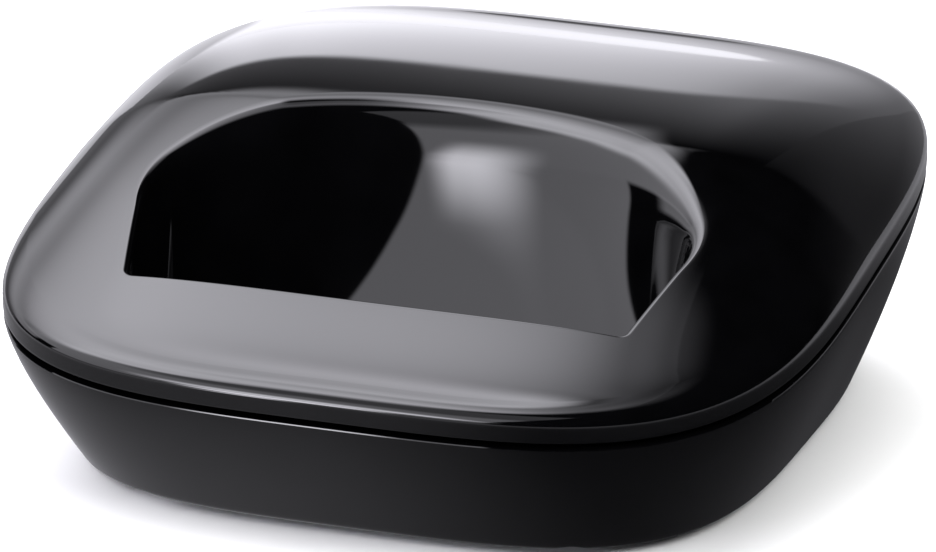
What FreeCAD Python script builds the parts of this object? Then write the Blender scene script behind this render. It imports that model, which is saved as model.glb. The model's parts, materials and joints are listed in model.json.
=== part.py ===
import FreeCAD, Part
import math
import os

# Desk base of a cordless telephone: a wedge-shaped, soft-cornered box in two glossy shells,
# with a scooped pocket in the top for the handset and two sprung charging contacts in its floor.
# Frame: millimetres, +Z up, origin on the desk below the middle of the box,
# front of the base towards -Y, right-hand side towards +X.

V = FreeCAD.Vector

# ---------------------------------------------------------------- driving dimensions
HALF_WIDTH = 42.0            # of the rim, along X
HALF_DEPTH = 49.5            # of the rim, measured in the sloping parting plane
CORNER_POWER = 3.5           # superellipse exponent of the rim outline
SLOPE_DEG = 7.2              # parting plane rises this much towards the rear
PARTING_HEIGHT = 20.5        # parting plane above the desk, over the origin
CENTRE_SHIFT = 0.15          # moves the sloping shells along Y, so the box is centred on the origin
FOOT_HEIGHT = 0.8            # gap under the lower shell
GAP = 0.7                    # shadow gap between the two shells
WALL = 2.0                   # shell wall thickness

RIM_HEIGHT = 3.1             # upright band between the gap and the top surface
CREST_HEIGHT = 9.9           # crest of the top surface above the rim
CREST_Y = -3.0               # where the crest lies, in the sloping frame
FRONT_POWER = 1.25           # fall of the top surface towards the front
REAR_POWER = 1.5             # fall of the top surface towards the rear
SHOULDER_POWER = 6.5         # fullness of the shoulders near the rim

BOWL_TAPER = 7.0             # how far the lower shell draws in, from parting to base
POCKET_FLOOR = -7.5          # pocket floor in the sloping frame
POCKET_TOP = 17.0            # height to which the pocket cutter runs
POCKET_WALL = 1.8
POCKET_FRONT_X = (24.0, 2.4)     # pocket section at the floor, and how much it changes by the top
POCKET_FRONT_Y = (-32.8, -2.2)
POCKET_SIDE_X = (26.4, 3.3)
POCKET_SIDE_Y = (-23.0, 6.6)
POCKET_BACK_Y = (-12.5, 13.7)
SKIRT_INSET = 2.9            # locating skirt inside the gap

CONTACT_X = 8.0              # charging contacts, either side of the middle
CONTACT_Y = -22.5
CARRIER_BOTTOM = 3.4
CARRIER_TOP = 8.1
WELL_FLOOR = 4.0             # the contact springs stand here
FLANGE_BOTTOM = 6.6
FLANGE_TOP = 7.3
TIP_HEIGHT = 12.5            # crown of a free contact above the desk
BOARD_TOP = 7.6
BOARD_THICKNESS = 1.2
BOARD_BOTTOM = BOARD_TOP - BOARD_THICKNESS
SHELL_FLOOR = FOOT_HEIGHT + WALL
BOSS_TOP = 6.6               # screw bosses of the lower shell end here
SOCKET_X = 14.0              # line socket on the right, power socket on the left
SOCKET_FACE_Y = 45.0
SOCKET_FLOOR = 3.2
SOCKET_TOP = 13.0
MOUTH_HALF = 4.9
MOUTH_LOW = 4.4
MOUTH_HIGH = 11.2
BUTTON_Z = 9.6
BUTTON_RADIUS = 2.6
BUTTON_FLANGE_Y = 43.1
BUTTON_FACE_Y = 48.2
CASE_HEAD_RADIUS = 2.4       # screw heads: radius, then lower and upper face
CASE_HEAD = (1.5, 3.2)
SMALL_HEAD_RADIUS = 2.0
BOARD_HEAD = (BOARD_TOP, BOARD_TOP + 1.2)
CARRIER_HEAD = (5.8, 6.9)
CASE_SCREWS = [(-21.0, -35.4), (21.0, -35.4), (-27.0, 34.5), (27.0, 34.5)]
BOARD_SCREWS = [(-26.5, -3.5), (26.5, -3.5), (-26.5, 26.0), (26.5, 26.0)]
CARRIER_SCREWS = [(-14.5, CONTACT_Y), (14.5, CONTACT_Y)]
FEET = {"front_left": (-20.0, -26.0), "front_right": (20.0, -26.0),
        "rear_left": (-20.0, 30.0), "rear_right": (20.0, 30.0)}


# ---------------------------------------------------------------- helpers
def box(x0, x1, y0, y1, z0, z1):
    """Box from its two extreme corners."""
    return Part.makeBox(x1 - x0, y1 - y0, z1 - z0, V(x0, y0, z0))


def post(x, y, radius, z0, z1):
    """Upright cylinder."""
    return Part.makeCylinder(radius, z1 - z0, V(x, y, z0), V(0, 0, 1))


def rod(x, y0, y1, z, radius):
    """Cylinder lying along Y."""
    return Part.makeCylinder(radius, y1 - y0, V(x, y0, z), V(0, 1, 0))


def outline(inset, power=CORNER_POWER, points=48):
    """Soft-cornered rectangle: closed curve in the plane z = 0, drawn in from the rim by inset."""
    half_x = HALF_WIDTH - inset
    half_y = HALF_DEPTH - inset
    track = []
    for step in range(points):
        angle = 2.0 * math.pi * step / points
        across = abs(math.cos(angle) / half_x) ** power
        along = abs(math.sin(angle) / half_y) ** power
        radius = (across + along) ** (-1.0 / power)
        track.append(V(radius * math.cos(angle), radius * math.sin(angle), 0))
    curve = Part.BSplineCurve()
    curve.interpolate(Points=track, PeriodicFlag=True)
    return Part.Wire(curve.toShape())


def prism(inset, z0, z1):
    """Upright block with the rim outline."""
    base = Part.Face(outline(inset))
    base.translate(V(0, 0, z0))
    return base.extrude(V(0, 0, z1 - z0))


def slope(shape):
    """Carry a shape from the frame of the parting plane to the frame of the desk."""
    placed = shape.copy()
    placed.rotate(V(0, 0, 0), V(1, 0, 0), SLOPE_DEG)
    placed.translate(V(0, CENTRE_SHIFT, PARTING_HEIGHT))
    return placed


def crown(x, y):
    """Height of the top surface above the parting plane."""
    if y < CREST_Y:
        fall = ((CREST_Y - y) / (CREST_Y + HALF_DEPTH)) ** FRONT_POWER
    else:
        fall = ((y - CREST_Y) / (HALF_DEPTH - CREST_Y)) ** REAR_POWER
    ridge = CREST_HEIGHT * (1.0 - fall)
    spread = abs(x / HALF_WIDTH) ** CORNER_POWER + abs(y / HALF_DEPTH) ** CORNER_POWER
    shoulder = 1.0 - min(spread, 1.3) ** (SHOULDER_POWER / CORNER_POWER)
    return RIM_HEIGHT + max(ridge, 0.0) * shoulder


def below_crown(drop):
    """Solid that fills everything under the top surface lowered by drop."""
    reach_x = HALF_WIDTH + 1.0
    reach_y = HALF_DEPTH + 1.0
    count = 33
    grid = []
    for i in range(count):
        x = -reach_x + 2.0 * reach_x * i / (count - 1)
        column = []
        for j in range(count):
            y = -reach_y + 2.0 * reach_y * j / (count - 1)
            column.append(V(x, y, crown(x, y) - drop))
        grid.append(column)
    surface = Part.BSplineSurface()
    surface.interpolate(grid)
    return surface.toShape().extrude(V(0, 0, -60.0))


def flared(span, rise):
    """Value that starts at span[0] and changes by span[1] over the full height."""
    return span[0] + span[1] * rise


def pocket_section(z, grow):
    """D-shaped section of the pocket at height z: straight front, straight sides, hollow back."""
    rise = (z - POCKET_FLOOR) / (POCKET_TOP - POCKET_FLOOR)
    front_x = flared(POCKET_FRONT_X, rise) + grow
    front_y = flared(POCKET_FRONT_Y, rise) - grow
    side_x = flared(POCKET_SIDE_X, rise) + grow
    side_y = flared(POCKET_SIDE_Y, rise)
    back_y = flared(POCKET_BACK_Y, rise) + grow
    left_front = V(-front_x, front_y, z)
    right_front = V(front_x, front_y, z)
    right_side = V(side_x, side_y, z)
    left_side = V(-side_x, side_y, z)
    edges = [
        Part.makeLine(left_front, right_front),
        Part.makeLine(right_front, right_side),
        Part.Arc(right_side, V(0, back_y, z), left_side).toShape(),
        Part.makeLine(left_side, left_front),
    ]
    return Part.Wire(edges)


def pocket_solid(z0, z1, grow):
    """Pocket-shaped solid between two heights, its walls moved out by grow."""
    return Part.makeLoft([pocket_section(z0, grow), pocket_section(z1, grow)], True, True)


def bowl_section(depth_share, inset):
    """Outline of the lower shell at a share of the way from the parting plane to the base."""
    drawn = BOWL_TAPER * depth_share ** 1.3 + inset
    tilt = math.radians(SLOPE_DEG)
    drop = (PARTING_HEIGHT - FOOT_HEIGHT) * depth_share
    wire = outline(drawn)
    wire.rotate(V(0, 0, 0), V(1, 0, 0), SLOPE_DEG * (1.0 - depth_share))
    wire.translate(V(0, CENTRE_SHIFT + drop * math.tan(tilt), PARTING_HEIGHT - drop))
    return wire


def bowl(inset):
    """Tapering body of the lower shell, with its sides drawn in by inset."""
    sections = [bowl_section(share, inset) for share in (0.0, 0.33, 0.66, 1.0)]
    return Part.makeLoft(sections, True, False)


def save(name, shape):
    shape.exportStep("parts/" + name + ".step")


# ---------------------------------------------------------------- shared cutters
def socket_window(x):
    """Hole through the rear wall for one modular socket."""
    return box(x - 6.6, x + 6.6, 31.0, 60.0, 2.95, 13.25)


def contact_slot(x):
    """Hole through the pocket floor for one charging contact."""
    return box(x - 1.4, x + 1.4, CONTACT_Y - 2.9, CONTACT_Y + 2.9, 5.0, 25.0)


# ---------------------------------------------------------------- shells
def make_top_shell():
    """Glossy cover with its upright band, pocket tub, locating skirt and screw posts."""
    band_bottom = GAP / 2.0
    outer = prism(0.0, band_bottom, 20.0).common(below_crown(0.0))
    inner = prism(WALL, band_bottom - 1.0, 20.0).common(below_crown(WALL))
    tub_outer = pocket_solid(POCKET_FLOOR - POCKET_WALL, POCKET_TOP, POCKET_WALL)
    tub_inner = pocket_solid(POCKET_FLOOR, POCKET_TOP, 0.0)
    skirt = prism(SKIRT_INSET, -1.2, 1.4).cut(prism(SKIRT_INSET + 1.2, -2.0, 2.0))
    ledge = prism(WALL - 0.2, band_bottom, 1.6).cut(prism(SKIRT_INSET + 1.2, -2.0, 3.0))
    skin = outer.cut(inner).fuse(tub_outer.common(below_crown(0.5)))
    shell = slope(skin.fuse(ledge).fuse(skirt).cut(tub_inner))
    roof = slope(prism(1.0, -40.0, 20.0).common(below_crown(1.0)))
    hollow = slope(pocket_solid(POCKET_FLOOR - 1.0, POCKET_TOP, 1.0))
    for x, y in CASE_SCREWS:
        column = post(x, y, 2.6, BOSS_TOP + 0.3, 45.0).common(roof).cut(hollow)
        shell = shell.fuse(column).cut(post(x, y, 1.15, BOSS_TOP, 16.0))
    for side in (-1, 1):
        shell = shell.cut(contact_slot(side * CONTACT_X))
        shell = shell.cut(socket_window(side * SOCKET_X))
    return shell.removeSplitter()


def make_bottom_shell():
    """Tapering bowl with screw bosses, board posts, foot recesses and rear openings."""
    above_gap = box(-60, 60, -70, 70, -GAP / 2.0, 40.0)
    outer = bowl(0.0).cut(slope(above_gap))
    inner = bowl(WALL).common(box(-60, 60, -70, 70, SHELL_FLOOR, 60))
    inner = inner.fuse(slope(prism(WALL, -1.0, 4.0)))
    shell = outer.cut(inner)
    for x, y in CASE_SCREWS:
        shell = shell.fuse(post(x, y, 3.3, FOOT_HEIGHT + 0.5, BOSS_TOP).common(outer))
    for x, y in BOARD_SCREWS:
        shell = shell.fuse(post(x, y, 2.4, SHELL_FLOOR - 0.5, BOARD_BOTTOM))
    for x, y in CARRIER_SCREWS:
        shell = shell.fuse(post(x, y, 2.0, SHELL_FLOOR - 0.5, CARRIER_BOTTOM))
    for x, y in CASE_SCREWS:
        shell = shell.cut(post(x, y, CASE_HEAD_RADIUS + 0.2, 0.0, CASE_HEAD[1]))
        shell = shell.cut(post(x, y, 1.3, 0.0, 10.0))
    for x, y in BOARD_SCREWS:
        shell = shell.cut(post(x, y, 0.85, SHELL_FLOOR, 8.0))
    for x, y in CARRIER_SCREWS:
        shell = shell.cut(post(x, y, 0.85, 1.6, 4.0))
    for x, y in FEET.values():
        shell = shell.cut(post(x, y, 5.2, 0.0, 1.3))
    for side in (-1, 1):
        shell = shell.cut(socket_window(side * SOCKET_X))
    shell = shell.cut(rod(0, 40.0, 60.0, BUTTON_Z, BUTTON_RADIUS + 0.3))
    return shell.removeSplitter()


# ---------------------------------------------------------------- charging contacts
def make_contact_carrier():
    """Moulded guide block with one well under each contact."""
    body = box(-17.0, 17.0, CONTACT_Y - 5.0, CONTACT_Y + 5.0, CARRIER_BOTTOM, CARRIER_TOP)
    for side in (-1, 1):
        x = side * CONTACT_X
        body = body.cut(box(x - 2.4, x + 2.4, CONTACT_Y - 3.9, CONTACT_Y + 3.9, WELL_FLOOR, 9.0))
    for x, y in CARRIER_SCREWS:
        body = body.cut(post(x, y, 1.1, 3.0, 9.0)).cut(post(x, y, 2.2, CARRIER_HEAD[0], 9.0))
    under_tub = slope(pocket_solid(POCKET_FLOOR - POCKET_WALL - 0.2, 0.0, POCKET_WALL + 0.4))
    return body.cut(under_tub)


def make_charge_contact(x):
    """Plated blade with a rounded crown, and the flange that holds it in."""
    blade = box(x - 1.1, x + 1.1, CONTACT_Y - 2.5, CONTACT_Y + 2.5, FLANGE_BOTTOM + 0.3, TIP_HEIGHT)
    crown_edges = [edge for edge in blade.Edges if edge.BoundBox.ZMin > TIP_HEIGHT - 0.01]
    blade = blade.makeFillet(0.9, crown_edges)
    flange = box(x - 2.1, x + 2.1, CONTACT_Y - 3.6, CONTACT_Y + 3.6, FLANGE_BOTTOM, FLANGE_TOP)
    return blade.fuse(flange).removeSplitter()


def make_contact_spring(x):
    """Zigzag leaf spring between the well floor and the flange."""
    leaf = 0.2
    half_length = 3.0
    half_width = 0.9
    low = WELL_FLOOR
    high = FLANGE_BOTTOM
    middle = (low + high) / 2.0
    front = CONTACT_Y - half_length
    rear = CONTACT_Y + half_length
    profile = [(front, low), (rear, low), (rear, low + leaf), (front + 1.2, middle),
               (rear, high - leaf), (rear, high), (front, high), (front, high - leaf),
               (rear - 1.8, high - leaf), (front, middle), (rear - 1.8, low + leaf), (front, low + leaf)]
    track = [V(x - half_width, y, z) for y, z in profile]
    face = Part.Face(Part.makePolygon(track + [track[0]]))
    return face.extrude(V(2.0 * half_width, 0, 0))


def make_contact_lead(x):
    """Flat strip from the carrier to the underside of the board."""
    return box(x - 0.6, x + 0.6, CONTACT_Y + 5.0, -5.0, BOARD_BOTTOM - 0.3, BOARD_BOTTOM)


# ---------------------------------------------------------------- circuit board and what is on it
def make_circuit_board():
    """Board with a tongue between the rear posts and a notch for each sunk socket."""
    board = box(-30.0, 30.0, -7.0, 30.5, BOARD_BOTTOM, BOARD_TOP)
    board = board.fuse(box(-22.0, 22.0, 30.0, 40.5, BOARD_BOTTOM, BOARD_TOP)).removeSplitter()
    for side in (-1, 1):
        x = side * SOCKET_X
        board = board.cut(box(x - 6.4, x + 6.4, 31.5, 50.0, 0.0, 20.0))
    for x, y in BOARD_SCREWS:
        board = board.cut(post(x, y, 1.1, 0.0, 20.0))
    return board


def make_socket(x):
    """Sunk modular socket: plug mouth open to the rear, with a latch groove along its floor."""
    body = box(x - 6.3, x + 6.3, 31.6, SOCKET_FACE_Y, SOCKET_FLOOR, SOCKET_TOP)
    mouth = box(x - MOUTH_HALF, x + MOUTH_HALF, 34.0, 50.0, MOUTH_LOW + 1.2, MOUTH_HIGH)
    latch = box(x - 3.0, x + 3.0, 36.0, 50.0, MOUTH_LOW, MOUTH_LOW + 2.0)
    return body.cut(mouth).cut(latch)


def make_socket_contacts(x, count):
    """Row of gold wires that slope down from the roof of the mouth, one for each conductor."""
    wires = []
    pitch = 1.02
    for index in range(count):
        middle = x + (index - (count - 1) / 2.0) * pitch
        track = [V(middle - 0.2, 34.0, MOUTH_HIGH - 1.2), V(middle - 0.2, 34.0, MOUTH_HIGH - 0.8),
                 V(middle - 0.2, 41.0, MOUTH_HIGH), V(middle - 0.2, 42.4, MOUTH_HIGH)]
        face = Part.Face(Part.makePolygon(track + [track[0]]))
        wires.append(face.extrude(V(0.4, 0, 0)))
    return Part.makeCompound(wires)


def make_chip(x, y, half_x, half_y, height):
    """Flat package with a bevelled top edge, sitting on the board."""
    body = box(x - half_x, x + half_x, y - half_y, y + half_y, BOARD_TOP, BOARD_TOP + height)
    top_edges = [edge for edge in body.Edges if edge.BoundBox.ZMin > BOARD_TOP + height - 0.01]
    return body.makeChamfer(0.2, top_edges)


def make_rf_shield():
    """Five-sided screening can with vent holes in its lid."""
    can = box(-26.0, -10.0, 6.0, 21.0, BOARD_TOP, BOARD_TOP + 3.0)
    can = can.cut(box(-25.7, -10.3, 6.3, 20.7, BOARD_TOP - 1.0, BOARD_TOP + 2.7))
    for column in range(4):
        for row in range(3):
            can = can.cut(post(-22.5 + 3.0 * column, 10.5 + 3.0 * row, 0.6, BOARD_TOP, BOARD_TOP + 5))
    return can


def make_antenna(side):
    """Stamped strip aerial that stands on the board and folds inwards at its top."""
    edge = side * 29.0
    upright = box(min(edge, edge + side * 0.4), max(edge, edge + side * 0.4), 8.0, 20.0, BOARD_TOP, 15.0)
    fold = box(min(edge, edge - side * 6.0), max(edge, edge - side * 6.0), 8.0, 20.0, 14.6, 15.0)
    window = box(-40.0, 40.0, 10.5, 17.5, BOARD_TOP + 2.0, BOARD_TOP + 5.0)
    return upright.fuse(fold).removeSplitter().cut(window)


def make_capacitors():
    """Three upright cans, each with a dished end."""
    cans = []
    for x, y, radius, height in ((22.0, 12.0, 2.5, 6.5), (22.0, 19.0, 2.5, 6.5), (3.0, 30.0, 2.0, 5.0)):
        can = post(x, y, radius, BOARD_TOP, BOARD_TOP + height)
        cans.append(can.cut(post(x, y, radius - 0.5, BOARD_TOP + height - 0.3, BOARD_TOP + height + 1)))
    return Part.makeCompound(cans)


def make_power_inductor():
    """Drum core with a waist."""
    x, y = -17.0, 26.0
    drum = post(x, y, 2.6, BOARD_TOP, BOARD_TOP + 3.4)
    waist = post(x, y, 3.0, BOARD_TOP + 0.8, BOARD_TOP + 2.6).cut(post(x, y, 1.9, BOARD_TOP, BOARD_TOP + 4))
    return drum.cut(waist)


def make_chip_resistors():
    """Two rows of tiny flat resistors."""
    pieces = []
    for column in range(5):
        for row in range(2):
            x = -7.0 + 3.0 * column
            y = 0.0 + 2.6 * row
            pieces.append(box(x - 0.8, x + 0.8, y - 0.4, y + 0.4, BOARD_TOP, BOARD_TOP + 0.5))
    return Part.makeCompound(pieces)


# ---------------------------------------------------------------- page button
def make_page_button():
    """Round key in the rear wall, with a flange inside and a stem for the switch."""
    cap = rod(0, BUTTON_FLANGE_Y, BUTTON_FACE_Y, BUTTON_Z, BUTTON_RADIUS)
    cap_edges = [edge for edge in cap.Edges if edge.BoundBox.YMin > BUTTON_FACE_Y - 0.01]
    cap = cap.makeFillet(0.4, cap_edges)
    flange = rod(0, BUTTON_FLANGE_Y, BUTTON_FLANGE_Y + 0.8, BUTTON_Z, BUTTON_RADIUS + 0.6)
    return cap.fuse(flange).removeSplitter()


def make_page_switch():
    """Tactile switch on the tongue of the board, facing the rear."""
    body = box(-3.0, 3.0, 36.5, 40.0, BOARD_TOP, BOARD_TOP + 4.0)
    return body.cut(rod(0, 38.0, 41.0, BUTTON_Z, 1.1))


def make_page_switch_plunger():
    """Plunger that the page button pushes."""
    return rod(0, 39.0, BUTTON_FLANGE_Y, BUTTON_Z, 1.0)


# ---------------------------------------------------------------- weight, feet, screws, label
def make_ballast_plate():
    """Steel plate that stops the light base from sliding."""
    plate = box(-22.0, 22.0, -8.0, 22.0, SHELL_FLOOR, SHELL_FLOOR + 2.0)
    upright = [edge for edge in plate.Edges if edge.Length < 2.01]
    return plate.makeFillet(3.0, upright)


def make_foot(x, y):
    """Rubber disc with a rounded lower edge."""
    disc = post(x, y, 5.0, 0.0, 1.3)
    lower = [edge for edge in disc.Edges if edge.BoundBox.ZMax < 0.01]
    return disc.makeFillet(0.3, lower)


def make_screws(places, head_radius, head_bottom, head_top, shank_radius, tip):
    """Identical pan-head screws with a cross slot; the head may be above or below the shank."""
    screws = []
    head_is_above = tip < head_bottom
    for x, y in places:
        head = post(x, y, head_radius, head_bottom, head_top)
        if head_is_above:
            shank = post(x, y, shank_radius, tip, head_bottom + 0.1)
            slot_low, slot_high = head_top - 0.6, head_top + 1.0
        else:
            shank = post(x, y, shank_radius, head_top - 0.1, tip)
            slot_low, slot_high = head_bottom - 1.0, head_bottom + 0.6
        reach = head_radius * 0.6
        cross = box(x - reach, x + reach, y - 0.25, y + 0.25, slot_low, slot_high)
        cross = cross.fuse(box(x - 0.25, x + 0.25, y - reach, y + reach, slot_low, slot_high))
        screws.append(head.fuse(shank).removeSplitter().cut(cross))
    return Part.makeCompound(screws)


def make_rating_label():
    """Blank label on the underside."""
    return box(-16.0, 16.0, -14.0, 14.0, FOOT_HEIGHT - 0.15, FOOT_HEIGHT)


# ---------------------------------------------------------------- build every piece
os.makedirs("parts", exist_ok=True)

save("top_shell", make_top_shell())
save("bottom_shell", make_bottom_shell())
save("contact_carrier", make_contact_carrier())
for side_name, side_sign in (("left", -1), ("right", 1)):
    contact_x = side_sign * CONTACT_X
    save("charge_contact_" + side_name, make_charge_contact(contact_x))
    save("contact_spring_" + side_name, make_contact_spring(contact_x))
    save("contact_lead_" + side_name, make_contact_lead(contact_x))
    save("antenna_" + side_name, make_antenna(side_sign))
save("circuit_board", make_circuit_board())
save("line_socket", make_socket(SOCKET_X))
save("line_socket_contacts", make_socket_contacts(SOCKET_X, 4))
save("power_socket", make_socket(-SOCKET_X))
save("power_socket_contacts", make_socket_contacts(-SOCKET_X, 2))
save("rf_shield", make_rf_shield())
save("main_chip", make_chip(0.0, 14.0, 4.5, 4.5, 1.0))
save("memory_chip", make_chip(11.5, 14.0, 2.6, 3.0, 0.9))
save("voltage_regulator", make_chip(-8.0, 27.0, 3.0, 3.0, 1.8))
save("crystal", make_chip(0.0, 23.0, 2.6, 1.3, 1.2))
save("capacitors", make_capacitors())
save("power_inductor", make_power_inductor())
save("chip_resistors", make_chip_resistors())
save("page_button", make_page_button())
save("page_switch", make_page_switch())
save("page_switch_plunger", make_page_switch_plunger())
save("ballast_plate", make_ballast_plate())
for foot_name, (foot_x, foot_y) in FEET.items():
    save("foot_" + foot_name, make_foot(foot_x, foot_y))
save("case_screws", make_screws(CASE_SCREWS, CASE_HEAD_RADIUS, *CASE_HEAD, 1.1, 15.0))
save("board_screws", make_screws(BOARD_SCREWS, SMALL_HEAD_RADIUS, *BOARD_HEAD, 0.8, 3.2))
save("carrier_screws", make_screws(CARRIER_SCREWS, SMALL_HEAD_RADIUS, *CARRIER_HEAD, 0.8, 1.8))
save("rating_label", make_rating_label())
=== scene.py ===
"""Looks of a glossy cordless telephone base: fine shell meshes, materials, floor, lights and camera."""

import json
import math

import bmesh
import bpy
from mathutils import Matrix, Vector


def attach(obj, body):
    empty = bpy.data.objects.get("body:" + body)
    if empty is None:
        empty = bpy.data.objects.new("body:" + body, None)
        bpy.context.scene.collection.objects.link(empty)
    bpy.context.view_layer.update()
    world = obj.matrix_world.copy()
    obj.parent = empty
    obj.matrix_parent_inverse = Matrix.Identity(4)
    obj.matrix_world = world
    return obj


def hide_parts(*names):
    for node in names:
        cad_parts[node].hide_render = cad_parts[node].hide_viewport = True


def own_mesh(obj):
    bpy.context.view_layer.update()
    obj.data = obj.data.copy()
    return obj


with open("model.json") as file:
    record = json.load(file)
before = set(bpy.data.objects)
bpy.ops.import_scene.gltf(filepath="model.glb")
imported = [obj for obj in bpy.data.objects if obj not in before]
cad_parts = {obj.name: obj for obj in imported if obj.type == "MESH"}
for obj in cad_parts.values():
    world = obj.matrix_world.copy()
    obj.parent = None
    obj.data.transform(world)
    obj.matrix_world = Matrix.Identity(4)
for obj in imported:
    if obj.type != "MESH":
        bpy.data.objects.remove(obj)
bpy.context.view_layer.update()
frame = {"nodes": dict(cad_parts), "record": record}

MM = 0.001

# ---------------------------------------------------------------- sizes, in millimetres
# These repeat the driving dimensions of the CAD model.
HALF_WIDTH = 42.0
HALF_DEPTH = 49.5
CORNER_POWER = 3.5
SLOPE = math.radians(7.2)
PARTING_HEIGHT = 20.5
CENTRE_SHIFT = 0.15
FOOT_HEIGHT = 0.8
GAP = 0.7
WALL = 2.0
RIM_HEIGHT = 3.1
CREST_HEIGHT = 9.9
CREST_Y = -3.0
FRONT_POWER = 1.25
REAR_POWER = 1.5
SHOULDER_POWER = 6.5
BOWL_TAPER = 7.0
POCKET_FLOOR = -7.5          # heights from the parting plane
POCKET_TOP = 17.0
POCKET_WALL = 1.8
# Each pair is the place at the floor level and its change up to the top level.
POCKET_FRONT_X = (24.0, 2.4)
POCKET_FRONT_Y = (-32.8, -2.2)
POCKET_SIDE_X = (26.4, 3.3)
POCKET_SIDE_Y = (-23.0, 6.6)
POCKET_BACK_Y = (-12.5, 13.7)
SKIRT_INSET = 2.9
SKIRT_THICKNESS = 1.2
SKIRT_DROP = 1.2
SHELF_HEIGHT = 1.6           # underside of the rim, inside the skirt
TUB_TOP = 3.4                # the outside of the pocket tub meets the top wall here
CONTACT_X = 8.0
CONTACT_Y = -22.5
CONTACT_SLOT = (1.4, 2.9)    # half sizes across and along
CONTACT_SLOT_Z = (5.0, 16.0)
SOCKET_X = 14.0
SOCKET_HALF_WIDTH = 6.6
SOCKET_Z = (2.95, 13.25)
SOCKET_CUT_Y = (31.0, 60.0)
BUTTON_Z = 9.6
BUTTON_HOLE_RADIUS = 2.9
FOOT_RECESS = (5.2, 1.3)     # radius, and height of its top above the desk
SCREW_RECESS = (2.6, 3.2)
CASE_SCREWS = [(-21.0, -35.4), (21.0, -35.4), (-27.0, 34.5), (27.0, 34.5)]
FEET = [(-20.0, -26.0), (20.0, -26.0), (-20.0, 30.0), (20.0, 30.0)]

# Softened edges, which only the visual model has.
RIM_FILLET = 1.1
FRONT_FILLET_WIDTH = 3.2
SIDE_FILLET_WIDTH = 1.4
REAR_FILLET_WIDTH = 3.6
FILLET_FRONT_Y = -15.0       # the rim fillet starts to widen towards the front
FILLET_REAR_Y = 12.0         # and towards the rear
FILLET_RUN = 30.0            # length over which it widens
GAP_EDGE = 0.3
BOWL_EDGE = 0.22
BASE_EDGE = 1.0
POCKET_FOOT = 1.2
LIP_WIDTH = (0.6, 4.2)       # along the straight front, and round the arch
LIP_DEPTH = (0.7, 4.6)
LIP_START_Y = -24.0
LIP_RUN = 22.0
SCOOP_BOW = 0.45
SCOOP_SWEEP = 8.5
SCOOP_TOP = 13.0
SCOOP_FRONT = -22.0
SCOOP_RUN = 15.0

STUDIO_TINT = (0.99, 0.98, 1.055)     # faintly cool studio light

# Frame of the sloping parting plane, carried to the frame of the desk.
TO_DESK = Matrix.Translation((0.0, CENTRE_SHIFT, PARTING_HEIGHT)) @ Matrix.Rotation(SLOPE, 4, "X")


# ---------------------------------------------------------------- mesh helpers
def mesh_object(name, points, faces, to_desk=None):
    """Object from points in millimetres, optionally carried to the desk frame."""
    placed = [(to_desk @ Vector(p)) * MM if to_desk else Vector(p) * MM for p in points]
    mesh = bpy.data.meshes.new(name)
    mesh.from_pydata(placed, [], faces)
    mesh.update()
    item = bpy.data.objects.new(name, mesh)
    bpy.context.scene.collection.objects.link(item)
    return item


def stack_rings(rings):
    """Quads that join each closed ring of points to the next one."""
    count = len(rings[0])
    faces = []
    for level in range(len(rings) - 1):
        low = level * count
        high = low + count
        for i in range(count):
            j = (i + 1) % count
            faces.append((low + i, low + j, high + j, high + i))
    points = [p for ring in rings for p in ring]
    return points, faces


def mix(a, b, share):
    """Point part of the way from a to b."""
    return Vector(a).lerp(Vector(b), share)


def eased(share):
    """Smooth step from 0 to 1."""
    held = min(max(share, 0.0), 1.0)
    return held * held * (3.0 - 2.0 * held)


def bend(start, corner, end, share):
    """Point on the round between two tangents that meet at corner."""
    return mix(mix(start, corner, share), mix(corner, end, share), share)


def smooth(item, angle=40.0):
    """Smooth shading with crisp edges kept above an angle."""
    for polygon in item.data.polygons:
        polygon.use_smooth = True
    item.data.set_sharp_from_angle(angle=math.radians(angle))


def recalc_normals(item):
    """Point every face outwards."""
    work = bmesh.new()
    work.from_mesh(item.data)
    bmesh.ops.recalc_face_normals(work, faces=work.faces)
    work.to_mesh(item.data)
    work.free()


def cut_away(item, cutters):
    """Subtract closed cutter objects from item, and drop the cutters."""
    for cutter in cutters:
        modifier = item.modifiers.new("cut", "BOOLEAN")
        modifier.operation = "DIFFERENCE"
        modifier.solver = "EXACT"
        modifier.object = cutter
    bpy.context.view_layer.update()
    seen = item.evaluated_get(bpy.context.evaluated_depsgraph_get())
    mesh = bpy.data.meshes.new_from_object(seen)
    item.modifiers.clear()
    item.data = mesh
    for cutter in cutters:
        bpy.data.objects.remove(cutter, do_unlink=True)


def box_cutter(x0, x1, y0, y1, z0, z1):
    """Closed block between two corners, in millimetres."""
    points = [(x, y, z) for x in (x0, x1) for y in (y0, y1) for z in (z0, z1)]
    faces = [(0, 1, 3, 2), (4, 6, 7, 5), (0, 4, 5, 1), (2, 3, 7, 6), (0, 2, 6, 4), (1, 5, 7, 3)]
    return mesh_object("cutter", points, faces)


def round_cutter(centre, radius, length, axis, sides=64):
    """Closed cylinder that starts at centre and runs along Y or Z, in millimetres."""
    points = []
    for end in (0.0, length):
        for i in range(sides):
            turn = 2.0 * math.pi * i / sides
            across = radius * math.cos(turn)
            along = radius * math.sin(turn)
            offset = (across, end, along) if axis == "Y" else (across, along, end)
            points.append(Vector(centre) + Vector(offset))
    faces = [tuple(range(sides)), tuple(range(2 * sides - 1, sides - 1, -1))]
    for i in range(sides):
        j = (i + 1) % sides
        faces.append((i, i + sides, j + sides, j))
    item = mesh_object("cutter", points, faces)
    recalc_normals(item)
    return item


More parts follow.
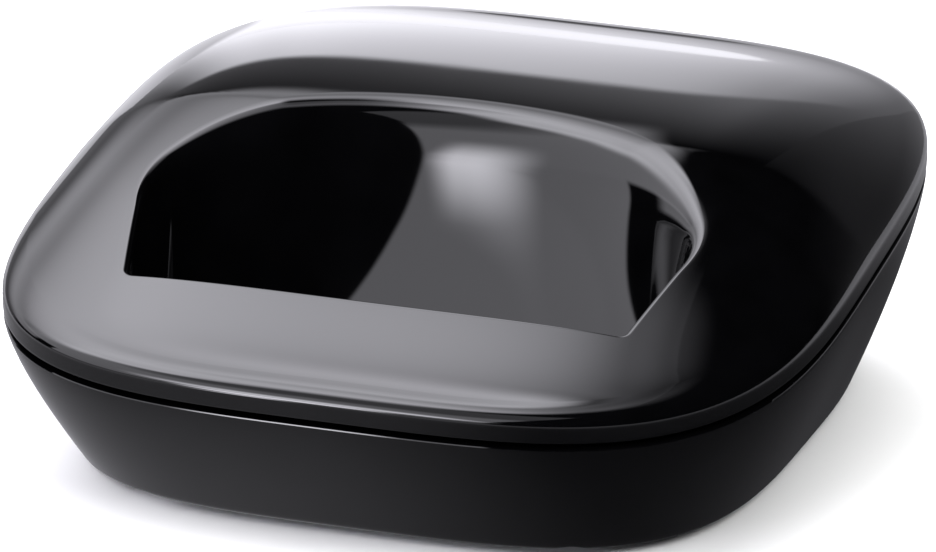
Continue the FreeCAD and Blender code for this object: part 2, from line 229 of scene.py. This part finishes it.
# ---------------------------------------------------------------- shapes of the shells
def crown(x, y):
    """Height of the top surface above the parting plane."""
    if y < CREST_Y:
        fall = ((CREST_Y - y) / (CREST_Y + HALF_DEPTH)) ** FRONT_POWER
    else:
        fall = ((y - CREST_Y) / (HALF_DEPTH - CREST_Y)) ** REAR_POWER
    ridge = CREST_HEIGHT * (1.0 - fall)
    spread = abs(x / HALF_WIDTH) ** CORNER_POWER + abs(y / HALF_DEPTH) ** CORNER_POWER
    shoulder = 1.0 - min(spread, 1.3) ** (SHOULDER_POWER / CORNER_POWER)
    return RIM_HEIGHT + max(ridge, 0.0) * shoulder


def on_crown(x, y, drop=0.0):
    """Point of the top surface, or of its inner side when drop is the wall."""
    return Vector((x, y, crown(x, y) - drop))


def outline_point(turn, inset):
    """Point of the soft-cornered outline at a turn about its centre."""
    half_x = HALF_WIDTH - inset
    half_y = HALF_DEPTH - inset
    across = abs(math.cos(turn) / half_x) ** CORNER_POWER
    along = abs(math.sin(turn) / half_y) ** CORNER_POWER
    radius = (across + along) ** (-1.0 / CORNER_POWER)
    return Vector((radius * math.cos(turn), radius * math.sin(turn), 0.0))


def pocket_loop(z, grow=0.0):
    """Closed D-shaped loop of the pocket at height z, always with the same number of points."""
    rise = (z - POCKET_FLOOR) / (POCKET_TOP - POCKET_FLOOR)

    def place(pair):
        return pair[0] + pair[1] * rise

    front = Vector((place(POCKET_FRONT_X) + grow, place(POCKET_FRONT_Y) - grow, z))
    side = Vector((place(POCKET_SIDE_X) + grow, place(POCKET_SIDE_Y), z))
    back_y = place(POCKET_BACK_Y) + grow
    sagitta = back_y - side.y
    radius = (side.x ** 2 + sagitta ** 2) / (2.0 * sagitta)
    half_turn = math.asin(side.x / radius)
    front_cut = 1.0
    arch_cut = 4.0

    def arc(share):
        turn = half_turn * share
        return Vector((radius * math.sin(turn), back_y - radius * (1.0 - math.cos(turn)), z))

    along_side = (side - front).normalized()
    line_start = Vector((0.0, front.y, z))
    line_end = Vector((front.x - front_cut, front.y, z))
    side_start = front + along_side * front_cut
    side_end = side - along_side * arch_cut
    arc_start = 1.0 - arch_cut / (radius * half_turn)
    half = [line_start.lerp(line_end, i / 40.0) for i in range(40)]
    half += [bend(line_end, front, side_start, i / 8.0) for i in range(8)]
    half += [side_start.lerp(side_end, i / 16.0) for i in range(16)]
    half += [bend(side_end, side, arc(arc_start), i / 24.0) for i in range(24)]
    half += [arc(arc_start * (1.0 - i / 60.0)) for i in range(61)]
    mirrored = [Vector((-p.x, p.y, p.z)) for p in reversed(half[1:-1])]
    return half + mirrored


POCKET_CENTRE = Vector((0.0, -17.0, 0.0))
FLOOR_LOOP = pocket_loop(POCKET_FLOOR)
TOP_LOOP = pocket_loop(POCKET_TOP)
TUB_FLOOR_LOOP = pocket_loop(POCKET_FLOOR, POCKET_WALL)
TUB_TOP_LOOP = pocket_loop(POCKET_TOP, POCKET_WALL)
RAYS = len(FLOOR_LOOP)


def wall_point(i, z):
    """Point i of the pocket wall at height z; the back bows a little, then sweeps forward at its foot."""
    p = FLOOR_LOOP[i].lerp(TOP_LOOP[i], (z - POCKET_FLOOR) / (POCKET_TOP - POCKET_FLOOR))
    depth_share = min(max((SCOOP_TOP - z) / (SCOOP_TOP - POCKET_FLOOR), 0.0), 1.0)
    facing = max(p.y - SCOOP_FRONT, 0.0) / SCOOP_RUN
    hollow = 4.0 * SCOOP_BOW * depth_share * (1.0 - depth_share) - SCOOP_SWEEP * depth_share ** 3
    p.y += hollow * min(facing, 1.0)
    return p


def tub_point(i, z):
    """Point i of the outside of the pocket tub at height z."""
    return TUB_FLOOR_LOOP[i].lerp(TUB_TOP_LOOP[i], (z - POCKET_FLOOR) / (POCKET_TOP - POCKET_FLOOR))


def lip_edge(i):
    """Where the pocket wall would meet the top surface."""
    z = 8.0
    for _ in range(20):
        p = wall_point(i, z)
        z = crown(p.x, p.y)
    return wall_point(i, z)


def lip_size(edge, span):
    """The lip is crisp along the straight front and full round the arch."""
    return span[0] + (span[1] - span[0]) * eased((edge.y - LIP_START_Y) / LIP_RUN)


def fillet_width(rim_point):
    """The rim is crisp along the sides and rolls over more softly at the front and the rear."""
    front = eased((FILLET_FRONT_Y - rim_point.y) / FILLET_RUN)
    rear = eased((rim_point.y - FILLET_REAR_Y) / FILLET_RUN)
    return (SIDE_FILLET_WIDTH + (FRONT_FILLET_WIDTH - SIDE_FILLET_WIDTH) * front
            + (REAR_FILLET_WIDTH - SIDE_FILLET_WIDTH) * rear)


def rim_crossing(direction, inset):
    """Where a ray from the middle of the pocket crosses the outline."""
    low, high = 0.0, 120.0
    half_x = HALF_WIDTH - inset
    half_y = HALF_DEPTH - inset
    for _ in range(40):
        middle = 0.5 * (low + high)
        p = POCKET_CENTRE + direction * middle
        inside = abs(p.x / half_x) ** CORNER_POWER + abs(p.y / half_y) ** CORNER_POWER < 1.0
        low, high = (middle, high) if inside else (low, middle)
    return POCKET_CENTRE + direction * low


# ---------------------------------------------------------------- top shell
def build_top_shell():
    """Closed shell: skirt, band, top surface, lip, pocket wall and floor, and its inner side."""
    edges = [lip_edge(i) for i in range(RAYS)]
    directions = []
    for edge in edges:
        flat = Vector((edge.x, edge.y, 0.0)) - POCKET_CENTRE
        directions.append(flat.normalized())
    rim = [rim_crossing(d, 0.0) for d in directions]
    inner_rim = [rim_crossing(d, WALL) for d in directions]
    skirt_out = [rim_crossing(d, SKIRT_INSET) for d in directions]
    skirt_in = [rim_crossing(d, SKIRT_INSET + SKIRT_THICKNESS) for d in directions]
    fillet_in = [p - d * fillet_width(p) for p, d in zip(rim, directions)]
    lip_out = []
    lip_in = []
    for i, (edge, direction) in enumerate(zip(edges, directions)):
        p = edge + direction * lip_size(edge, LIP_WIDTH)
        lip_out.append(on_crown(p.x, p.y))
        lip_in.append(wall_point(i, edge.z - lip_size(edge, LIP_DEPTH)))

    def at(points, z):
        return [Vector((p.x, p.y, z)) for p in points]

    rings = []
    # inner side, from under the pocket out to the rim
    tub_floor = POCKET_FLOOR - POCKET_WALL
    for share in (0.0, 0.5, 1.0):
        rings.append([tub_point(i, tub_floor + (TUB_TOP - tub_floor) * share) for i in range(RAYS)])
    for share in (0.35, 0.7, 0.92, 1.0):
        ring = []
        for i in range(RAYS):
            start = tub_point(i, TUB_TOP)
            p = start.lerp(inner_rim[i], share)
            ring.append(on_crown(p.x, p.y, WALL))
        rings.append(ring)
    rings.append(at(inner_rim, SHELF_HEIGHT))
    rings.append(at(skirt_in, SHELF_HEIGHT))
    rings.append(at(skirt_in, -SKIRT_DROP))
    rings.append(at(skirt_out, -SKIRT_DROP))
    rings.append(at(skirt_out, GAP / 2.0))
    # band, with a small round at the gap and a soft round at the rim
    bottom = GAP / 2.0
    inset_ring = at([p - d * GAP_EDGE for p, d in zip(rim, directions)], bottom)
    rings.append(inset_ring)
    for step in range(1, 5):
        share = step / 4.0
        rings.append([bend(inset_ring[i], Vector((rim[i].x, rim[i].y, bottom)),
                           Vector((rim[i].x, rim[i].y, bottom + GAP_EDGE)), share) for i in range(RAYS)])
    top = RIM_HEIGHT - RIM_FILLET
    for step in range(1, 6):
        rings.append(at(rim, bottom + GAP_EDGE + (top - bottom - GAP_EDGE) * step / 5.0))
    for step in range(1, 11):
        share = step / 10.0
        ring = []
        for i in range(RAYS):
            start = Vector((rim[i].x, rim[i].y, top))
            corner = Vector((rim[i].x, rim[i].y, RIM_HEIGHT))
            end = on_crown(fillet_in[i].x, fillet_in[i].y)
            ring.append(bend(start, corner, end, share))
        rings.append(ring)
    # top surface, from the rim round to the lip
    rows = 70
    for step in range(1, rows + 1):
        share = step / rows
        ring = []
        for i in range(RAYS):
            p = fillet_in[i].lerp(lip_out[i], share)
            ring.append(on_crown(p.x, p.y))
        rings.append(ring)
    # lip
    for step in range(1, 15):
        share = step / 14.0
        rings.append([bend(lip_out[i], edges[i], lip_in[i], share) for i in range(RAYS)])
    # pocket wall and the round at its foot
    foot_top = POCKET_FLOOR + POCKET_FOOT
    for step in range(1, 21):
        share = step / 20.0
        rings.append([wall_point(i, lip_in[i].z + (foot_top - lip_in[i].z) * share) for i in range(RAYS)])
    for step in range(1, 9):
        ring = []
        for i in range(RAYS):
            start = wall_point(i, foot_top)
            corner = wall_point(i, POCKET_FLOOR)
            towards = Vector((0.0, POCKET_CENTRE.y - 5.0, POCKET_FLOOR)) - corner
            towards.z = 0.0
            end = corner + towards.normalized() * POCKET_FOOT
            ring.append(bend(start, corner, end, step / 8.0))
        rings.append(ring)
    points, faces = stack_rings(rings)
    last = (len(rings) - 1) * RAYS
    faces.append(tuple(range(last, last + RAYS)))
    faces.append(tuple(reversed(range(RAYS))))
    item = mesh_object("top_shell_glossy", points, faces, TO_DESK)
    recalc_normals(item)
    across, along = CONTACT_SLOT
    cutters = []
    for x in (-CONTACT_X, CONTACT_X):
        cutters.append(box_cutter(x - across, x + across,
                                  CONTACT_Y - along, CONTACT_Y + along, *CONTACT_SLOT_Z))
    cut_away(item, cutters)
    smooth(item, 35.0)
    return item


# ---------------------------------------------------------------- bottom shell
def bowl_ring(depth_share, inset, turns=360):
    """Ring of the lower shell at a share of the way from the parting plane to the base."""
    drawn = BOWL_TAPER * depth_share ** 1.3 + inset
    drop = (PARTING_HEIGHT - FOOT_HEIGHT) * depth_share
    tilt = Matrix.Rotation(SLOPE * (1.0 - depth_share), 3, "X")
    shift = Vector((0.0, CENTRE_SHIFT + drop * math.tan(SLOPE), PARTING_HEIGHT - drop))
    return [tilt @ outline_point(2.0 * math.pi * i / turns, drawn) + shift for i in range(turns)]


def build_bottom_shell():
    """Closed bowl with a bevelled top edge, rounded base edge, recesses and rear openings."""
    height = PARTING_HEIGHT - FOOT_HEIGHT
    top_share = GAP / 2.0 / height
    edge_share = BASE_EDGE / height
    rings = []
    inner_shares = [1.0 - WALL / height, 0.7, 0.5, 0.3, 0.1, top_share]
    for share in inner_shares:
        rings.append(bowl_ring(share, WALL))
    rings.append(bowl_ring(top_share, BOWL_EDGE))
    rings.append(bowl_ring(top_share + BOWL_EDGE * 0.35 / height, BOWL_EDGE * 0.3))
    rings.append(bowl_ring(top_share + BOWL_EDGE / height, 0.0))
    rows = 40
    start = top_share + BOWL_EDGE / height
    end = 1.0 - edge_share
    for step in range(1, rows + 1):
        rings.append(bowl_ring(start + (end - start) * step / rows, 0.0))
    start_ring = bowl_ring(1.0 - edge_share, 0.0)
    corner_ring = bowl_ring(1.0, 0.0)
    end_ring = bowl_ring(1.0, BASE_EDGE)
    for step in range(1, 11):
        share = step / 10.0
        rings.append([bend(a, b, c, share) for a, b, c in zip(start_ring, corner_ring, end_ring)])
    rings.append(bowl_ring(1.0, BASE_EDGE + 0.6))
    points, faces = stack_rings(rings)
    count = len(rings[0])
    last = (len(rings) - 1) * count
    faces.append(tuple(range(last, last + count)))
    faces.append(tuple(reversed(range(count))))
    item = mesh_object("bottom_shell_glossy", points, faces)
    recalc_normals(item)
    cutters = []
    for x in (-SOCKET_X, SOCKET_X):
        cutters.append(box_cutter(x - SOCKET_HALF_WIDTH, x + SOCKET_HALF_WIDTH, *SOCKET_CUT_Y, *SOCKET_Z))
    cutters.append(round_cutter((0.0, 40.0, BUTTON_Z), BUTTON_HOLE_RADIUS, 20.0, "Y"))
    for places, (radius, depth) in ((FEET, FOOT_RECESS), (CASE_SCREWS, SCREW_RECESS)):
        for x, y in places:
            cutters.append(round_cutter((x, y, -1.0), radius, depth + 1.0, "Z"))
    cut_away(item, cutters)
    smooth(item, 35.0)
    return item


# ---------------------------------------------------------------- materials
class Recipe:
    """Small helper that wires one node material."""

    def __init__(self, name):
        self.material = bpy.data.materials.new(name)
        self.material.use_nodes = True
        self.tree = self.material.node_tree
        self.shader = self.tree.nodes["Principled BSDF"]
        self.place = self.add("ShaderNodeTexCoord").outputs["Object"]

    def add(self, kind, **inputs):
        node = self.tree.nodes.new(kind)
        for key, value in inputs.items():
            node.inputs[key.replace("_", " ")].default_value = value
        return node

    def link(self, start, end):
        self.tree.links.new(start, end)

    def noise(self, scale, detail=3.0, stretch=(1.0, 1.0, 1.0)):
        mapping = self.add("ShaderNodeMapping")
        mapping.inputs["Scale"].default_value = stretch
        self.link(self.place, mapping.inputs["Vector"])
        node = self.add("ShaderNodeTexNoise", Scale=scale, Detail=detail)
        self.link(mapping.outputs["Vector"], node.inputs["Vector"])
        return node.outputs["Fac"]

    def spread(self, source, low, high):
        """Map a 0 to 1 pattern to a range."""
        node = self.add("ShaderNodeMapRange")
        node.inputs["From Min"].default_value = 0.3
        node.inputs["From Max"].default_value = 0.7
        node.inputs["To Min"].default_value = low
        node.inputs["To Max"].default_value = high
        self.link(source, node.inputs["Value"])
        return node.outputs["Result"]

    def colours(self, source, dark, light):
        node = self.add("ShaderNodeValToRGB")
        node.color_ramp.elements[0].position = 0.3
        node.color_ramp.elements[1].position = 0.7
        node.color_ramp.elements[0].color = (*dark, 1.0)
        node.color_ramp.elements[1].color = (*light, 1.0)
        self.link(source, node.inputs["Fac"])
        return node.outputs["Color"]

    def combine(self, operation, first, second):
        node = self.add("ShaderNodeMath")
        node.operation = operation
        self.link(first, node.inputs[0])
        self.link(second, node.inputs[1])
        return node.outputs[0]

    def ramp(self, source, start, end, first, last):
        """Eased change from the value first to the value last."""
        node = self.add("ShaderNodeMapRange")
        node.interpolation_type = "SMOOTHSTEP"
        node.inputs["From Min"].default_value = start
        node.inputs["From Max"].default_value = end
        node.inputs["To Min"].default_value = first
        node.inputs["To Max"].default_value = last
        self.link(source, node.inputs["Value"])
        return node.outputs["Result"]

    def bumps(self, source, depth, strength=1.0):
        node = self.add("ShaderNodeBump", Strength=strength, Distance=depth)
        self.link(source, node.inputs["Height"])
        self.link(node.outputs["Normal"], self.shader.inputs["Normal"])
        return node


def glossy_plastic():
    """Piano-black moulding: near mirror, with faint flow, fine dust and a trace of handling haze."""
    r = Recipe("glossy_black")
    r.link(r.colours(r.noise(140.0), (0.0005, 0.0005, 0.0006), (0.001, 0.001, 0.0012)),
           r.shader.inputs["Base Color"])
    r.link(r.spread(r.noise(60.0, 6.0), 0.03, 0.06), r.shader.inputs["Roughness"])
    r.bumps(r.noise(300.0, 2.0), 0.000004, 0.25)
    r.shader.inputs["IOR"].default_value = 1.52
    return r.material


def moulded_plastic(name, dark, light, roughness, grain=1800.0):
    """Fine spark-eroded texture of an inner or small moulding."""
    r = Recipe(name)
    r.link(r.colours(r.noise(90.0), dark, light), r.shader.inputs["Base Color"])
    r.link(r.spread(r.noise(grain, 2.0), roughness - 0.08, roughness + 0.08), r.shader.inputs["Roughness"])
    r.bumps(r.noise(grain, 2.0), 0.00003, 0.5)
    return r.material


def metal(name, dark, light, roughness, stretch=(1.0, 1.0, 1.0), scale=500.0):
    """Plated or rolled metal with faint drawing lines."""
    r = Recipe(name)
    r.shader.inputs["Metallic"].default_value = 1.0
    r.link(r.colours(r.noise(scale, 4.0, stretch), dark, light), r.shader.inputs["Base Color"])
    r.link(r.spread(r.noise(scale, 4.0, stretch), roughness - 0.06, roughness + 0.08),
           r.shader.inputs["Roughness"])
    r.bumps(r.noise(scale * 2.0, 3.0, stretch), 0.00001, 0.4)
    return r.material


def paper_label():
    """Blank brushed film label."""
    brushed = (0.05, 1.0, 1.0)
    r = Recipe("label_paper")
    r.link(r.colours(r.noise(700.0, 3.0, brushed), (0.5, 0.5, 0.51), (0.62, 0.62, 0.63)),
           r.shader.inputs["Base Color"])
    r.link(r.spread(r.noise(900.0, 3.0, brushed), 0.35, 0.5), r.shader.inputs["Roughness"])
    r.bumps(r.noise(900.0, 3.0, brushed), 0.00001, 0.4)
    return r.material


ALONG_STRIP = (1.0, 0.1, 1.0)         # stretches a pattern along Y, the way the strips are rolled
MATERIALS = {
    "glossy_black": glossy_plastic(),
    "black_plastic": moulded_plastic("black_plastic", (0.015, 0.015, 0.016), (0.024, 0.024, 0.026), 0.45),
    "button_plastic": moulded_plastic("button_plastic", (0.12, 0.12, 0.125), (0.16, 0.16, 0.165), 0.4),
    "gold_contact": metal("gold_contact", (0.78, 0.55, 0.2), (0.9, 0.68, 0.3), 0.2),
    "spring_steel": metal("spring_steel", (0.5, 0.5, 0.52), (0.65, 0.65, 0.66), 0.28, ALONG_STRIP),
    "tinned_steel": metal("tinned_steel", (0.58, 0.58, 0.56), (0.72, 0.72, 0.7), 0.35),
    "copper_strip": metal("copper_strip", (0.65, 0.36, 0.22), (0.8, 0.48, 0.3), 0.3, ALONG_STRIP),
    "board_laminate": moulded_plastic("board_laminate", (0.012, 0.09, 0.03), (0.02, 0.14, 0.05), 0.35, 900.0),
    "chip_black": moulded_plastic("chip_black", (0.02, 0.02, 0.021), (0.032, 0.032, 0.034), 0.55, 2500.0),
    "can_aluminium": metal("can_aluminium", (0.66, 0.67, 0.68), (0.78, 0.79, 0.8), 0.3),
    "ferrite": moulded_plastic("ferrite", (0.045, 0.045, 0.048), (0.075, 0.075, 0.08), 0.6),
    "resistor_ceramic": moulded_plastic("resistor_ceramic", (0.06, 0.06, 0.065), (0.1, 0.1, 0.11), 0.3),
    "plated_screw": metal("plated_screw", (0.48, 0.48, 0.5), (0.62, 0.62, 0.64), 0.3),
    "ballast_steel": metal("ballast_steel", (0.2, 0.21, 0.22), (0.3, 0.31, 0.33), 0.45),
    "foot_rubber": moulded_plastic("foot_rubber", (0.02, 0.02, 0.02), (0.035, 0.035, 0.034), 0.75, 1200.0),
    "label_paper": paper_label(),
}


def stand_for(item, node, slot_name):
    """Paint a piece, put it on the base body, and let it stand for a CAD node."""
    item.data.materials.clear()
    item.data.materials.append(MATERIALS[slot_name])
    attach(item, "base")
    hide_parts(node)


def build_leaf_spring(side):
    """Copy of the contact's spring."""
    node = "contact_spring_" + side
    source = frame["nodes"][node]
    spring = bpy.data.objects.new("leaf_spring_" + side, source.data.copy())
    bpy.context.scene.collection.objects.link(spring)
    spring.matrix_world = source.matrix_world.copy()
    stand_for(spring, node, "spring_steel")
    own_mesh(spring)


top_shell = build_top_shell()
bottom_shell = build_bottom_shell()
stand_for(top_shell, "top_shell", "glossy_black")
stand_for(bottom_shell, "bottom_shell", "glossy_black")
build_leaf_spring("left")
build_leaf_spring("right")

slot_of = {entry["node"]: entry["material_slot"] for entry in frame["record"]["subparts"]}
for node_name, node_object in frame["nodes"].items():
    for place in node_object.material_slots:
        place.material = MATERIALS[slot_of[node_name]]


# ---------------------------------------------------------------- floor, lights and camera
FLOOR_SIZE = 3.0             # metres
PAINTED_SHEET_SIZE = 2.8
PAINTED_SHEET_HEIGHT = 0.0002
GLARE_ACROSS = (1.0, -0.306, 0.0)     # direction across the strip of glare, which runs towards the front lamp


def build_floor():
    """Plain pale floor, much larger than the view."""
    bpy.ops.mesh.primitive_plane_add(size=FLOOR_SIZE, location=(0.0, 0.0, 0.0))
    floor = bpy.context.object
    floor.name = "floor"
    r = Recipe("floor_paper")
    r.link(r.colours(r.noise(30.0), (0.86, 0.86, 0.86), (0.88, 0.88, 0.88)), r.shader.inputs["Base Color"])
    r.shader.inputs["Roughness"].default_value = 0.9
    r.shader.inputs["Specular IOR Level"].default_value = 0.0
    floor.data.materials.append(r.material)


def build_painted_floor_reflection():
    """Glowing sheet around the base that only its reflections show, carrying painted floor light and shade: a
    painted shadow of the base, darker on the right, and paler painted floor light further out.

    Places are in metres on the desk; strengths add up to the sheet's glow.
    """
    bpy.ops.mesh.primitive_plane_add(size=PAINTED_SHEET_SIZE, location=(0.0, 0.0, PAINTED_SHEET_HEIGHT))
    painted_sheet = bpy.context.object
    painted_sheet.name = "painted_floor_reflection"
    r = Recipe("painted_floor_reflection")
    split = r.add("ShaderNodeSeparateXYZ")
    r.link(r.place, split.inputs["Vector"])
    length = r.add("ShaderNodeVectorMath")
    length.operation = "LENGTH"
    r.link(r.place, length.inputs[0])
    x, y = split.outputs["X"], split.outputs["Y"]
    # painted shadow of the base on the floor close to it, darker on the right
    painted_base_shadow = r.ramp(x, -0.015, 0.03, 0.40, 0.05)
    # painted floor light, paler further from the base
    painted_floor_light = r.ramp(length.outputs["Value"], 0.065, 0.17, 0.0, 0.55)
    total = r.combine("ADD", painted_base_shadow, painted_floor_light)
    # painted reflection of the pale sweep in front of the backdrop, a fan that opens away from the rear
    ratio = r.combine("DIVIDE", x, y)
    painted_sweep_reflection = r.combine("MULTIPLY", r.ramp(ratio, -0.47, -0.42, 0.0, 1.0), r.ramp(ratio, -0.16, 0.02, 1.0, 0.0))
    painted_sweep_reflection = r.combine("MULTIPLY", painted_sweep_reflection, r.ramp(y, 0.06, 0.16, 0.0, 0.9))
    total = r.combine("ADD", total, painted_sweep_reflection)
    # glare of the front lamp, a strip that runs away from the front rim
    across = r.add("ShaderNodeVectorMath")
    across.operation = "DOT_PRODUCT"
    across.inputs[1].default_value = GLARE_ACROSS
    r.link(r.place, across.inputs[0])
    side = across.outputs["Value"]
    strip = r.combine("MULTIPLY", r.ramp(side, -0.02, 0.0, 0.0, 1.0), r.ramp(side, 0.006, 0.014, 1.0, 0.0))
    strip = r.combine("MULTIPLY", strip, r.ramp(y, -0.135, -0.105, 9.0, 0.0))
    strip = r.combine("MULTIPLY", strip, r.ramp(y, -0.9, -0.5, 0.0, 1.0))
    total = r.combine("ADD", total, strip)
    glow = r.add("ShaderNodeEmission")
    r.link(total, glow.inputs["Strength"])
    glow.inputs["Color"].default_value = (*STUDIO_TINT, 1.0)
    output = r.tree.nodes["Material Output"]
    r.link(glow.outputs["Emission"], output.inputs["Surface"])
    painted_sheet.data.materials.append(r.material)
    painted_sheet.visible_camera = False
    painted_sheet.visible_diffuse = False
    painted_sheet.visible_shadow = False


def build_fill_lights():
    """Broad soft lamps that even out the floor without showing up in the gloss."""
    lamps = (("fill_left", (-0.9, -0.5, 1.3), 8.0),
             ("fill_right", (1.0, -0.6, 1.2), 26.0),
             ("fill_top", (0.1, 0.3, 1.6), 20.0))
    lamp_size = 1.2
    for name, place, power in lamps:
        lamp = bpy.data.lights.new(name, "AREA")
        lamp.shape = "DISK"
        lamp.size = lamp_size
        lamp.energy = power
        item = bpy.data.objects.new(name, lamp)
        item.location = place
        item.rotation_euler = Vector(place).to_track_quat("Z", "Y").to_euler()
        item.visible_glossy = False
        item.visible_camera = False
        bpy.context.scene.collection.objects.link(item)


LEAN_HEIGHT = 46.0           # elevation at which a leaning panel keeps its stated azimuths


class Surroundings:
    """World shader built from soft-edged panels, placed by azimuth and elevation in degrees.

    Azimuth 0 is in front of the object, 90 to its right and 180 behind it.
    """

    def __init__(self):
        world = bpy.data.worlds.new("studio")
        bpy.context.scene.world = world
        world.use_nodes = True
        self.tree = world.node_tree
        place = self.tree.nodes.new("ShaderNodeTexCoord").outputs["Generated"]
        split = self.tree.nodes.new("ShaderNodeSeparateXYZ")
        self.tree.links.new(place, split.inputs["Vector"])
        front = self.math("MULTIPLY", split.outputs["Y"], -1.0)
        turn = self.math("ARCTAN2", split.outputs["X"], front)
        rise = self.math("ARCSINE", split.outputs["Z"])
        self.azimuth = self.math("MULTIPLY", turn, 180.0 / math.pi)
        self.elevation = self.math("MULTIPLY", rise, 180.0 / math.pi)
        self.total = None

    def math(self, operation, first, second=0.0):
        node = self.tree.nodes.new("ShaderNodeMath")
        node.operation = operation
        for socket, value in zip(node.inputs, (first, second)):
            if isinstance(value, (int, float)):
                socket.default_value = value
            else:
                self.tree.links.new(value, socket)
        return node.outputs[0]

    def step(self, value, middle, soft, rising=True):
        """Eased step about a middle value, 2 * soft wide."""
        node = self.tree.nodes.new("ShaderNodeMapRange")
        node.interpolation_type = "SMOOTHSTEP"
        node.inputs["From Min"].default_value = middle - soft
        node.inputs["From Max"].default_value = middle + soft
        node.inputs["To Min"].default_value = 0.0 if rising else 1.0
        node.inputs["To Max"].default_value = 1.0 if rising else 0.0
        self.tree.links.new(value, node.inputs["Value"])
        return node.outputs["Result"]

    def add(self, amount):
        self.total = amount if self.total is None else self.math("ADD", self.total, amount)

    def panel(self, left, right, low, high, strength, lean=0.0):
        """Lit panel; each edge is (degrees, softness in degrees), and lean slants its sides."""
        shear = self.math("MULTIPLY", self.math("SUBTRACT", self.elevation, LEAN_HEIGHT), lean)
        turn = self.math("SUBTRACT", self.azimuth, shear)
        across = self.math("MULTIPLY", self.step(turn, *left), self.step(turn, *right, False))
        along = self.math("MULTIPLY", self.step(self.elevation, *low),
                          self.step(self.elevation, *high, False))
        self.add(self.math("MULTIPLY", self.math("MULTIPLY", across, along), strength))

    def finish(self):
        background = self.tree.nodes["Background"]
        background.inputs["Color"].default_value = (*STUDIO_TINT, 1.0)
        self.tree.links.new(self.total, background.inputs["Strength"])


def build_world():
    """Dark studio: a large light tent on the left, a lamp in front, and a white backdrop behind."""
    studio = Surroundings()
    any_low = (-200.0, 1.0)
    # key panel behind and to the left: a crisp lower part and a softer, narrower upper part
    studio.panel((-162.5, 3.0), (-104.0, 12.0), (45.0, 15.0), (55.0, 3.0), 5.8, 0.35)
    studio.panel((-151.5, 13.0), (-104.0, 12.0), (55.0, 3.0), (70.0, 4.0), 5.9)
    studio.panel((-169.0, 9.0), (-150.0, 10.0), (56.0, 3.0), (70.0, 4.0), 0.8)
    studio.panel((-200.0, 1.0), (-160.0, 12.0), (63.5, 4.0), (70.0, 4.0), 0.7)
    studio.panel((172.0, 16.0), (200.0, 1.0), (63.5, 2.5), (70.0, 4.0), 0.5)
    # the key panel's dimmer skirt, down to the shoulder of the tent
    studio.panel((-145.0, 7.0), (-114.0, 6.0), (15.0, 9.0), (46.0, 10.0), 1.6)
    studio.panel((-165.0, 1.0), (-146.0, 6.0), (22.5, 2.0), (42.0, 8.0), 1.0)
    # fill panel on the left, cut off straight in front; its upper part reaches further round the side
    studio.panel((-77.5, 1.0), (-4.0, 1.2), (5.0, 4.0), (26.0, 3.0), 1.9)
    studio.panel((-112.0, 10.0), (-4.0, 1.2), (26.0, 3.0), (65.0, 7.0), 2.0)
    studio.panel((-114.0, 6.0), (-92.0, 3.0), (12.0, 4.0), (27.0, 3.0), 1.5)
    # dim roof of the tent
    studio.panel((-128.0, 12.0), (-6.0, 2.0), (66.0, 5.0), (95.0, 1.0), 0.65)
    # hot spot of the front lamp, whose sides lean with height, and the strip under it
    studio.panel((-43.0, 14.0), (-18.0, 6.0), (21.0, 4.0), (35.0, 14.0), 11.0, -0.5)
    studio.panel((-25.0, 6.0), (-15.5, 1.2), any_low, (17.0, 5.0), 13.0)
    # white backdrop behind, with a clean upper edge, and its dim reach to both sides
    studio.panel((-172.0, 6.0), (-163.0, 3.0), any_low, (12.2, 0.8), 0.4)
    studio.panel((-165.0, 3.5), (-156.0, 4.0), any_low, (12.2, 0.8), 1.7)
    studio.panel((-168.0, 4.0), (-112.0, 5.0), any_low, (16.0, 14.0), 0.28)
    studio.panel((-200.0, 1.0), (-166.0, 3.0), any_low, (20.0, 12.0), 0.36)
    studio.panel((158.0, 16.0), (200.0, 1.0), any_low, (20.0, 16.0), 0.3)
    studio.finish()


def build_camera():
    """Camera seen from the front right and above, as an azimuth and elevation about the parting plane."""
    azimuth = math.radians(16.77)
    elevation = math.radians(24.0)
    distance = 0.9
    back = Vector((math.sin(azimuth) * math.cos(elevation), -math.cos(azimuth) * math.cos(elevation),
                   math.sin(elevation)))
    right = Vector((math.cos(azimuth), math.sin(azimuth), 0.0))
    up = back.cross(right)
    turn = Matrix((right, up, back)).transposed().to_4x4()
    turn.translation = back * distance
    desk = TO_DESK.copy()
    desk.translation = desk.translation * MM
    lens = bpy.data.cameras.new("camera")
    lens.sensor_width = 36.0
    lens.lens = 341.8
    lens.shift_x = -0.0059
    lens.shift_y = -0.0528
    lens.clip_start = 0.01
    lens.clip_end = 20.0
    camera = bpy.data.objects.new("camera", lens)
    camera.matrix_world = desk @ turn
    bpy.context.scene.collection.objects.link(camera)
    bpy.context.scene.camera = camera
    bpy.context.scene.view_settings.view_transform = "Standard"


build_floor()
build_painted_floor_reflection()
build_fill_lights()
build_world()
build_camera()
